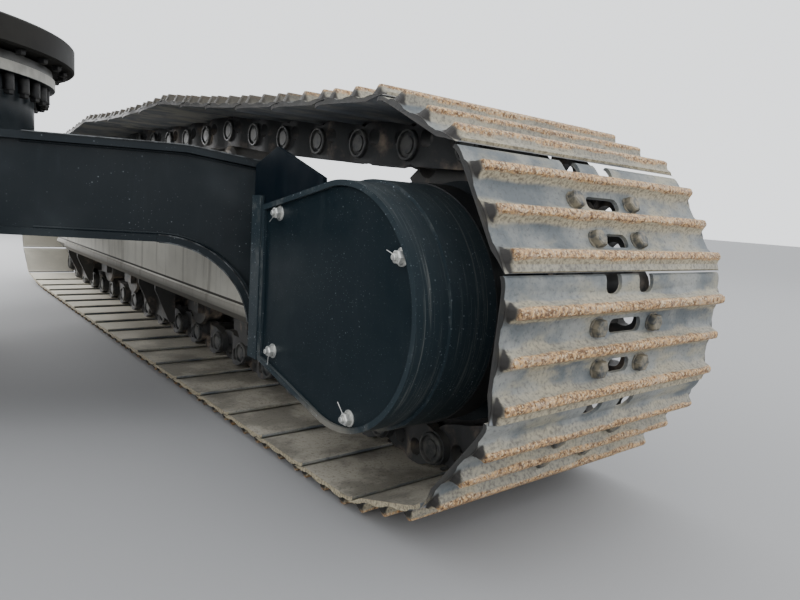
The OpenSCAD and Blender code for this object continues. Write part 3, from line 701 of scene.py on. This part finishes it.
def hex_bolt(across=32.0, height=14.0, washer=21.0, washer_t=3.0):
    """A washer with a hexagon head, its top edge rounded by wear."""
    corner = across / math.sqrt(3)
    head = turned_solid([(0, corner), (height * 0.62, corner), (height * 0.86, corner * 0.93),
                         (height, corner * 0.74)], 6)
    disc = turned_solid([(-washer_t, washer), (-0.4, washer), (0, washer * 0.94)], 18)
    return joined([(head[0] + [0, 0, washer_t], head[1]), (disc[0] + [0, 0, washer_t], disc[1])])


def swept(path, radius, around=8, ripple=0.0, wave=9.0):
    """A round bar along a path; ripple swells it by a sine of the length, as a weld bead is."""
    path = np.asarray(path, float)
    step = np.linalg.norm(np.diff(path, axis=0), axis=1)
    length = np.concatenate([[0], np.cumsum(step)])
    spacing = wave / 3 if ripple else 25
    count = max(2, int(length[-1] / spacing))
    at = np.linspace(0, length[-1], count)
    line = np.column_stack([np.interp(at, length, path[:, k]) for k in range(3)])
    tangent = np.gradient(line, axis=0)
    tangent /= np.linalg.norm(tangent, axis=1)[:, None]
    helper = np.array([0.31, 0.17, 0.94])
    side = np.cross(tangent, helper)
    side /= np.linalg.norm(side, axis=1)[:, None]
    up = np.cross(side, tangent)
    swell = radius * (1 + ripple * np.sin(at * 2 * math.pi / wave))
    t = np.arange(around) * 2 * math.pi / around
    points = line[:, None, :] + swell[:, None, None] * (
        np.cos(t)[None, :, None] * side[:, None, :] + np.sin(t)[None, :, None] * up[:, None, :])
    return points.reshape(-1, 3), flipped(tube_faces(count, around))


def cut_out(blank, cutters):
    """Takes closed cutters from a closed blank, both as (points, faces), with Boolean modifiers."""
    def temporary(points, faces):
        """An object that serves the cut and is removed after it."""
        mesh = bpy.data.meshes.new("temporary")
        mesh.from_pydata(np.asarray(points).tolist(), [], faces)
        made = bpy.data.objects.new("temporary", mesh)
        bpy.context.scene.collection.objects.link(made)
        return made

    body = temporary(*blank)
    knives = [temporary(*cutter) for cutter in cutters]
    for knife in knives:
        modifier = body.modifiers.new("cut", "BOOLEAN")
        modifier.operation = "DIFFERENCE"
        modifier.solver = "EXACT"
        modifier.object = knife
    evaluated = body.evaluated_get(bpy.context.evaluated_depsgraph_get())
    result = evaluated.to_mesh()
    points = np.zeros(len(result.vertices) * 3)
    result.vertices.foreach_get("co", points)
    faces = [list(polygon.vertices) for polygon in result.polygons]
    evaluated.to_mesh_clear()
    for made in [body, *knives]:
        mesh = made.data
        bpy.data.objects.remove(made)
        bpy.data.meshes.remove(mesh)
    return points.reshape(-1, 3), faces


# %% [markdown]
# ## A track shoe
# A shoe is one length of rolled section: three bars on a thin plate, a leading lip that
# bends in, and a trailing edge that laps over the next shoe. Two slots let mud out, two
# notches clear the chain's eyes, and four bolts hold the shoe on its links. The section
# is written once as (u, h): u runs along the chain, h outwards from the pins.

# %% Shoe section
# The outer side from the leading lip over the three bars to the trailing edge, then the inner side
shoe_outer = [
    (-142, 58), (-139, 62.5), (-131, 65.5), (-120, 67), (-106, 67.5), (-101.5, 70.5), (-97, 80), (-94, 90),
    (-91.5, 95), (-88, 97), (-80, 97), (-76.5, 95), (-73.5, 89), (-69, 79), (-62, 71.5), (-54, 69),
    (-30, 69),
    (-22, 71.5), (-15, 79), (-10.5, 89), (-7.5, 95), (-4, 97), (4, 97), (7.5, 95), (10.5, 89), (15, 79),
    (22, 71.5), (30, 69), (54, 69), (62, 71.5), (69, 79), (73.5, 89), (76.5, 95), (80, 97), (88, 97),
    (91.5, 95), (95, 88), (100, 83), (112, 80.5),
]
shoe_inner = [(112, 72.5), (86, 67), (62, 60.3), (-100, 60.3), (-122, 59), (-134, 56), (-140, 52)]
section = np.array(shoe_outer + shoe_inner, float)
bar_end = 16.0
end_drop = 0.94


def shoe_blank():
    """The section carried across the shoe; each bar is cut off in a slope short of the plate's end."""
    half = shoe_w / 2
    stations = [(-half, end_drop), (-half + 6, end_drop), (-half + bar_end, 0.0),
                (half - bar_end, 0.0), (half - 6, end_drop), (half, end_drop)]
    plate_top = seat_h + plate_t + 3
    u, h = section[:, 0], section[:, 1]
    rings = []
    for x, drop in stations:
        cut_h = np.where(h > plate_top, h - drop * (h - plate_top), h)
        rings.append(np.column_stack([np.full(len(h), x), -u, cut_h]))
    return np.vstack(rings), tube_faces(len(stations), len(section))


def slot_cutter(x, u, half_x, half_u, low, high, round_r, corners=5):
    """An upright block with rounded corners, to cut a slot or a notch."""
    t = np.radians(np.linspace(0, 90, corners))
    loop = []
    for sx, su, start in ((1, 1, 0), (-1, 1, 90), (-1, -1, 180), (1, -1, 270)):
        a = t + math.radians(start)
        loop.append(np.column_stack([x + sx * (half_x - round_r) + round_r * np.cos(a),
                                     -u + su * (half_u - round_r) + round_r * np.sin(a)]))
    loop = np.vstack(loop)
    rings = np.vstack([np.column_stack([loop, np.full(len(loop), level)]) for level in (low, high)])
    return rings, tube_faces(2, len(loop))


# Middle (x, u) of each cut, its half sizes, lower and upper end, and the radius of its corners
shoe_points, shoe_faces = cut_out(shoe_blank(), [
    slot_cutter(0, -40, 55, 15, 40, 110, 13),
    slot_cutter(0, 43, 37, 15, 40, 110, 13),
    slot_cutter(-57, -140, 26, 36, 30, 110, 18),
    slot_cutter(57, -140, 26, 36, 30, 110, 18),
])
bolt_head, bolt_faces = hex_bolt(33, 15, 22, 3)
bolt_seat = seat_h + plate_t - 0.5
shoe_bolt_places = ((97, -41), (-97, -41), (73, 43), (-73, 43))
shoe_bolts = joined([(bolt_head + [x, -u, bolt_seat], bolt_faces) for x, u in shoe_bolt_places])
print("one shoe:", len(shoe_points), "points,", len(shoe_faces), "faces")


# %% Place shoes and bolts on the chain
def on_chain(part, side):
    """A part on every link of one side: the link's middle + v along the chain + h outwards."""
    points, faces = part
    x, v, h = points[:, 0], points[:, 1], points[:, 2]
    yz = middle[:, None, :] + v[None, :, None] * along[:, None, :] + h[None, :, None] * outward[:, None, :]
    across_x = np.broadcast_to(x + side * gauge / 2, yz.shape[:2])
    placed = np.dstack([across_x, yz[..., 0] + drive_y, yz[..., 1]])
    return joined([(copy, faces) for copy in placed])


sides = (("right", 1), ("left", -1))
inner_line = np.array(shoe_inner[::-1], float)
on_one_shoe = shoe_points.copy()
on_one_shoe[:, 0] = shoe_points[:, 2] - np.interp(-shoe_points[:, 1], inner_line[:, 0], inner_line[:, 1])
on_one_shoe[:, 1] = shoe_w / 2 - np.abs(shoe_points[:, 0])
for side_name, side in sides:
    shoes = new_piece(side_name + "_track_shoes", *on_chain((shoe_points, shoe_faces), side), shoe_steel,
                      "shoe_steel", on_shoe=np.tile(on_one_shoe, (link_count, 1)))
    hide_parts(side_name + "_shoes")
    new_piece(side_name + "_shoe_bolts", *on_chain(shoe_bolts, side), worn_bolt, "shoe_steel")

# %% [markdown]
# ## The chain
# Each link is a cast plate that steps sideways: its rear end sits inside the next link's
# front end. It is a box section carried along its length, with a round eye at each pin,
# and two windows that leave room for the nuts of the shoe bolts.

# %% Chain links
eye_u, eye_r = pitch / 2, 44.0
rail_low, rail_high = 53.0, 59.6
link_half = 16.0
outer_x, inner_x = 92.0, 70.0


def link_blank():
    """Four corners at each station along u; x steps sideways by the smooth share s * s * (3 - 2 s)."""
    turn = np.radians(np.linspace(0, 75, 6))
    cap_u = eye_u + eye_r * np.sin(turn)[::-1]
    cap_h = eye_r * np.cos(turn)[::-1]
    u = np.concatenate([-cap_u, [-92, -76, -60, -34, -12, 12, 34, 60, 76, 92], cap_u[::-1]])
    high = np.concatenate([cap_h, [46, 55, *[rail_high] * 6, 55, 46], cap_h[::-1]])
    low = -np.concatenate([cap_h, [49, *[rail_low] * 8, 49], cap_h[::-1]])
    share = np.clip((u + 34) / 68, 0, 1)
    share = share * share * (3 - 2 * share)
    x = outer_x + (inner_x - outer_x) * share
    corners = [(-link_half, low), (link_half, low), (link_half, high), (-link_half, high)]
    rings = np.stack([np.column_stack([x + step, -u, h]) for step, h in corners], 1)
    return rings.reshape(-1, 3), tube_faces(len(u), 4)


def window_cutter(u):
    """A rounded window through the link at u: a slot cutter on its side, with x and h swapped."""
    points, faces = slot_cutter(18, 0, 22, 22, 40, 130, 19, 5)
    swapped = np.column_stack([points[:, 2], points[:, 1] - u, points[:, 0]])
    return swapped, flipped(faces)


def with_twin(points, faces):
    """A part and its mirror image, for the chain's two rails."""
    return joined([(points, faces), (points * [-1, 1, 1], flipped(faces))])


pair = with_twin(*cut_out(link_blank(), [window_cutter(-44), window_cutter(44)]))
bush_points, bush_faces = turned_solid([(-56, 31), (56, 31)], 20)
pair = joined([pair, (stood(bush_points, (0, eye_u, 0), (1, 0, 0)), bush_faces)])
eye_profile = [(0, 40), (10, 40), (13, 37.5), (13, 33), (6, 31), (6, 23), (10, 22), (10, 3)]
eye_points, eye_faces = turned_solid(eye_profile, 24)
eyes = with_twin(stood(eye_points, (outer_x + link_half - 2, eye_u, 0), (1, 0, 0)), eye_faces)
print("one pair of links:", len(pair[0]), "points,", len(pair[1]), "faces")
for side_name, side in sides:
    links = new_piece(side_name + "_links", *on_chain(pair, side), chain_iron, "chain_steel")
    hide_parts(side_name + "_chain")
    new_piece(side_name + "_link_eyes", *on_chain(eyes, side), eye_steel, "chain_steel")

# %% [markdown]
# ## Bolts of the sprocket and the hub
# The sprocket rim is bolted to the hub from outside. The hub's own cover has a ring of
# smaller bolts on its sloping face, and three plugs for the oil nearer the middle. One
# loop sets all three rings from a table, because only their numbers differ.

# %% Drive bolts
# Count, shift, circle's radius, how far out from the chain's middle, lean outwards, head's sizes
drive_rings = [
    (20, 0.0, 246.0, 46.0, 0.0, (30, 17, 19, 3)),
    (12, 0.5, 149.0, 157.5, 16 / 58, (19, 11, 13, 3)),
    (3, 0.75, 91.0, 165.6, 0.0, (24, 9, 17, 3)),
]
for side_name, side in sides:
    centre = np.array([side * gauge / 2, drive_y, drive_z])
    parts = []
    for count, shift, circle, stands, lean, head_size in drive_rings:
        head, faces = hex_bolt(*head_size)
        for y, z in spread(count, shift):
            out = np.array([0, y, z])
            place = centre + out * circle + [side * stands, 0, 0]
            parts.append((stood(head, place, out * lean + [side, 0, 0]), faces))
    new_piece(side_name + "_drive_bolts", *joined(parts), dark_bolt, "roller_iron")

# %% [markdown]
# ## Guard, cover and their bolts
# The motor guard is a rolled shell with a recessed cover. Four zinc-plated bolts hold the
# cover, each with a short tail of lock wire. Shell and cover are CAD solids. A bolt is three
# small turned solids on one axis, and its wire is a thin bar swept through four points.

# %% Cover bolts
cover_face = gauge / 2 - 407.0
# Each bolt's place (y, z) from the sprocket's axis, and its wire's direction
cover_bolts = [(270, 183, 1.0, -0.6), (-203, 126, 1.0, 0.25), (279, -156, 0.3, -1.0), (-64, -225, 0.9, 0.7)]
cover_head = [
    turned_solid([(0, 18), (3, 18), (3.6, 17.2), (3.6, 12.5), (6.5, 12.5), (6.5, 10)], 20),
    turned_solid([(6, 13.8), (15, 13.8), (18, 11.5)], 6),
    turned_solid([(17, 6.5), (23, 6.5), (24.5, 5.2)], 12),
]
# How far the wire stands out from the cover, and how far it has run along it
wire_steps = [(10, 12), (15, 22), (13, 31), (8, 38)]
for side_name, side in sides:
    parts = []
    for y, z, wire_y, wire_z in cover_bolts:
        place = (side * (cover_face + 1), drive_y + y, drive_z + z)
        parts.extend((stood(points, place, (-side, 0, 0)), faces) for points, faces in cover_head)
        wire = [(side * (cover_face - out), place[1] + wire_y * run, place[2] + wire_z * run)
                for out, run in wire_steps]
        parts.append(swept(wire, 1.0, 6))
    new_piece(side_name + "_cover_bolts", *joined(parts), zinc, "roller_iron")

# %% [markdown]
# ## Bolts of the slewing ring
# Under the tower's flange hang the bolts of the inner race, each in a long sleeve. The
# flange's rim is ground bright: a thin ring of its own, because the CAD flange has one
# material. The outer race shows a ring of plain bolt heads on its underside, and they turn
# with it, so they ride on its body.

# %% Ring bolts
sleeve_circle, sleeve_count, flange_under = 665.0, 48, 1028.0
sleeve = [
    turned_solid([(0, 17.5), (48, 17.5), (50, 16), (50, 12)], 16),
    turned_solid([(49, 18.5), (52, 18.5), (52.5, 17)], 16),
    turned_solid([(52, 15.5), (64, 15.5), (67, 13)], 6),
]
sleeves = []
for x, y in spread(sleeve_count, 0.3) * sleeve_circle:
    place = (x, y, flange_under + 0.5)
    sleeves.extend((stood(points, place, (0, 0, -1)), faces) for points, faces in sleeve)
new_piece("tower_bolts", *joined(sleeves), dark_bolt, "ring_steel")

rim_steps, rim_in, rim_out, rim_top = 128, 699.0, 700.6, 1063.0
rim_low = flange_under + 1
rim_profile = [(rim_low, rim_in), (rim_low, rim_out), (rim_top, rim_out), (rim_top, rim_in)]
rim_points, rim_faces = turned_solid(rim_profile, rim_steps)
rim_inside = [[3 * rim_steps + k, 3 * rim_steps + (k + 1) % rim_steps, (k + 1) % rim_steps, k]
              for k in range(rim_steps)]
new_piece("tower_flange_rim", rim_points, rim_faces[:-2] + rim_inside, flange_steel, "ring_steel")

race_under, race_bolts, race_circle = 1098.0, 36, 728.0
head, faces = hex_bolt(28, 15, 18, 3)
heads = [(stood(head, (x, y, race_under + 1), (0, 0, -1)), faces)
         for x, y in spread(race_bolts, 0.5) * race_circle]
new_piece("race_bolts", *joined(heads), dark_bolt, "ring_steel", body="slew_ring")

# %% [markdown]
# ## The arched legs
# Each leg is a box of four plates. Its bottom flange bends down to the track frame in an
# arch, and the bend is square to the leg's rear wall, so that one looks along it from
# behind. The CAD legs bend square to the frame instead. Here the space under the turned
# arch is taken from the CAD solid, and a new flange follows the bend.

# %% Sizes of the legs
deck_z, deck_t, droop, flange_lip = 808.0, 20.0, 35.0, 25.0
belly_z, arch_r = 540.0, 245.0
frame_x = gauge / 2 - 310.0
seam_x = frame_x + 30.0
arch_x, droop_x = frame_x - 15.0, frame_x - 185.0
flange_x0 = arch_x - 242.0
leg_x0, leg_x1 = 300.0, frame_x + 55.0
rear_y0, rear_y1 = 986.0, 1313.0
front_y0, front_y1 = 414.0, 830.0
rear_foot_z, front_foot_z = 322.0, 410.0
arch_turn = math.atan((rear_y1 - rear_y0) / (leg_x1 - leg_x0))
across = np.array([math.cos(arch_turn), -math.sin(arch_turn)])
along_bend = np.array([math.sin(arch_turn), math.cos(arch_turn)])
bend_foot = np.array([arch_x, -rear_y0 - (arch_x - leg_x0) * math.tan(arch_turn)])


def wall_y(x, rear):
    """Y of a leg's side wall at x, for its rear face or its front face."""
    y0, y1 = (rear_y0, rear_y1) if rear else (front_y0, front_y1)
    return -(y0 + (y1 - y0) * (x - leg_x0) / (leg_x1 - leg_x0))


def bend_line(radius, start, low=0.0, steps=20):
    """(p, z) along the flat underside, then round a circle to height low; p counts from its foot."""
    last = math.asin(max(0.0, (low - belly_z + arch_r) / radius))
    a = np.linspace(math.pi / 2, last, steps)
    bend = np.column_stack([radius * np.cos(a) - arch_r, belly_z - arch_r + radius * np.sin(a)])
    return np.vstack([[start, belly_z - arch_r + radius], bend])


def in_plan(p, s, z):
    """Points (x, y, z) of a rear right leg from p across the bend, s along it, and z."""
    xy = bend_foot + np.outer(p, across) + np.outer(s, along_bend)
    return np.column_stack([xy, z])


def front_s(p):
    """Where a line along the bend leaves the front wall."""
    slope = (front_y1 - front_y0) / (leg_x1 - leg_x0)
    at = bend_foot + np.outer(p, across)
    return (-front_y0 - slope * (at[:, 0] - leg_x0) - at[:, 1]) / (along_bend[1] + slope * along_bend[0])


def under_bend():
    """A closed block under the arch: the bend's line, closed well below and behind, carried along."""
    far_p, low_z = -800.0, 200.0
    line = np.vstack([bend_line(arch_r + 1, far_p), [[1, low_z], [far_p, low_z]]])
    count = len(line)
    points = np.vstack([in_plan(line[:, 0], np.full(count, s), line[:, 1]) for s in (-200.0, 1000.0)])
    return points, tube_faces(2, count)


def bend_flange(foot_z):
    """The arched flange, from its lip behind the rear wall to its lip before the front wall."""
    flat_p, flat_steps = -460.0, 6
    low, high = bend_line(arch_r, flat_p, foot_z), bend_line(arch_r + deck_t, flat_p, foot_z)
    flat = np.linspace(flat_p, -arch_r - 5, flat_steps)
    low = np.vstack([np.column_stack([flat, np.full(flat_steps, belly_z)]), low[1:]])
    high = np.vstack([np.column_stack([flat, np.full(flat_steps, belly_z + deck_t)]), high[1:]])
    p = low[:, 0]
    start = np.maximum(-flange_lip, (flange_x0 - bend_foot[0] - p * across[0]) / along_bend[0])
    stop = np.minimum(front_s(p) + flange_lip, (seam_x - bend_foot[0] - p * across[0]) / along_bend[0])
    stop = np.maximum(stop, start + 5)
    corners = [(start, low), (stop, low), (stop, high), (start, high)]
    rings = np.stack([in_plan(line[:, 0], s, line[:, 1]) for s, line in corners], 1)
    return rings.reshape(-1, 3), tube_faces(len(p), 4)


def mirrored_to(part, side, end):
    """A part of the rear right leg, mirrored to the leg of another side or end."""
    points, faces = part
    return np.asarray(points) * [side, -end, 1.0], faces if side * end < 0 else flipped(faces)


def cad_mesh(name):
    """Points in millimetres and faces of a CAD node."""
    mesh = nodes[name].data
    points = np.zeros(len(mesh.vertices) * 3)
    mesh.vertices.foreach_get("co", points)
    return points.reshape(-1, 3) / mm, [list(polygon.vertices) for polygon in mesh.polygons]


# %% Legs
ends = (("rear", -1, rear_foot_z), ("front", 1, front_foot_z))
legs = [(side_name, side, *end) for side_name, side in sides for end in ends]
for side_name, side, end_name, end, foot_z in legs:
    leg = end_name + "_" + side_name + "_leg"
    # The foot block takes what hangs below the foot's height, near the track frame
    foot_block = slot_cutter(leg_x1 - 200, 1100, 290, 500, 100, foot_z, 1, 2)
    cutters = [mirrored_to(under_bend(), side, end), mirrored_to(foot_block, side, end)]
    box = new_piece(leg + "_box", *cut_out(cad_mesh(leg), cutters), paint, "black_paint")
    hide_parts(leg)
    new_piece(leg + "_arch", *mirrored_to(bend_flange(foot_z), side, end), paint, "black_paint")

# %% [markdown]
# ## Welds and bright edges of the legs
# A weld bead is a bar along the seam that swells in even ripples. Along the flange's edges
# runs a thin bright line, partly bare steel where the paint has chipped and partly a painted
# highlight: a bar of under 2 mm radius stands in for the chipped corner, and its noise keeps
# the line broken.

# %% Welds and edges
weld_ripple, weld_wave = 0.12, 9.0
edge_r, edge_sides = 1.8, 5
rear_seam_x, front_seam_x = 430.0, 640.0


def top_line(x):
    """Height of the seam under the deck: level as far as droop_x, then falling in a straight line."""
    return deck_z - deck_t - np.where(x > droop_x, droop * (x - droop_x) / (leg_x1 - droop_x), 0)


def on_leg(line, s, side, end):
    """A line (p, z) of the bend, at s along it, placed on the leg of a side and an end."""
    return in_plan(line[:, 0], np.full(len(line), s), line[:, 1]) * [side, -end, 1]


welds, edges = [], []
for _, side, _, end, foot_z in legs:
    for rear, seam_start in ((True, rear_seam_x), (False, front_seam_x)):
        x = np.linspace(seam_start, seam_x, 30)
        seam = np.column_stack([side * x, -end * wall_y(x, rear), top_line(x) - 3])
        welds.append(swept(seam, 4.5, 6, weld_ripple, weld_wave))
    bead = on_leg(bend_line(arch_r + deck_t + 2, -560, foot_z), -1.0, side, end)
    welds.append(swept(bead, 5.0, 6, weld_ripple, weld_wave))
    # Thin bright lines along the flange's edges: chipped paint and a painted highlight
    for radius in (arch_r, arch_r + deck_t):
        line = on_leg(bend_line(radius, -570, foot_z)[1:], -flange_lip, side, end)
        edges.append(swept(line, edge_r, edge_sides))
    x = np.linspace(rear_seam_x, seam_x, 30)
    lip = np.column_stack([side * x, -end * (wall_y(x, True) - flange_lip * 1.08), top_line(x) + deck_t])
    edges.append(swept(lip, edge_r, edge_sides))
new_piece("leg_welds", *joined(welds), paint, "black_paint")
new_piece("leg_edge_highlights", *joined(edges), edge_highlight_chips, "black_paint")

# %% [markdown]
# ## The inner wall of the track frames
# The frame's inner wall stands upright over a flange that sticks out a little, and dust
# gathers on that ledge. Its paint is a lighter copy of the frame's: painted light. The wall
# is one closed section carried along the frame, in front of the CAD section, whose lower
# corner is drawn in so that it doesn't show.

# %% Inner walls
wall_section = np.array([(-310, 322), (-310, 347), (-303, 350.5), (-303, 500), (-130, 690.5),
                         (-126, 689), (-126, 600), (-270, 330), (-270, 322)], float)
wall_y0, wall_y1 = drive_y + 432, 1205.0
corner_x, corner_z = 250.0, 281.0
drawn_in = (("side_frame", frame_paint, "frame_paint"), ("track_guides", roller_iron, "roller_iron"))
for side_name, side in sides:
    for name, material, slot in drawn_in:
        points, faces = cad_mesh(side_name + "_" + name)
        local = side * points[:, 0] - gauge / 2
        corner = (local < -corner_x) & (points[:, 2] < corner_z)
        points[corner, 0] = side * (gauge / 2 - corner_x)
        drawn = new_piece(side_name + "_" + name + "_body", points, faces, material, slot)
        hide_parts(side_name + "_" + name)
    x, z = wall_section[:, 0] + gauge / 2, wall_section[:, 1]
    rings = np.vstack([np.column_stack([side * x, np.full(len(x), y), z]) for y in (wall_y0, wall_y1)])
    faces = tube_faces(2, len(x))
    new_piece(side_name + "_frame_wall", rings, faces if side > 0 else flipped(faces),
              lit_wall_paint, "frame_paint")

# %% [markdown]
# ## Finishes of the CAD nodes
# Nodes whose shape is right stay as they are and only get their material, in every slot
# that their mesh has. Patterns read the place on the object, so they need no UV map.

# %% CAD materials
def on_both(*names):
    """The right and the left node of each name."""
    return [side_name + "_" + name for name in names for side_name, side in sides]


finish = {
    paint: ["carbody_centre", "belly_cover", "tower", *on_both("final_drive")],
    gusset_shade_paint: on_both("hose_gusset"),
    cover_paint: on_both("guard_cover"),
    guard_paint: on_both("motor_guard"),
    frame_paint: on_both("carrier_posts"),
    roller_iron: on_both("bottom_rollers", "carrier_rollers", "idler_yoke", "idler", "sprocket"),
    ring_steel: ["outer_race", "swivel_joint"],
    gear_steel: ["inner_race"],
}
for material, names in finish.items():
    for name in names:
        if not nodes[name].material_slots:
            nodes[name].data.materials.append(material)
        for material_slot in nodes[name].material_slots:
            material_slot.material = material
dressed = sum(len(names) for names in finish.values())
print(dressed, "CAD nodes dressed,", len(nodes) - dressed, "replaced")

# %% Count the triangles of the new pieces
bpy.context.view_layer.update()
triangles = sum(
    len(p.vertices) - 2 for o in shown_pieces() if "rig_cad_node" not in o for p in o.data.polygons
)
print("new pieces:", triangles, "triangles")
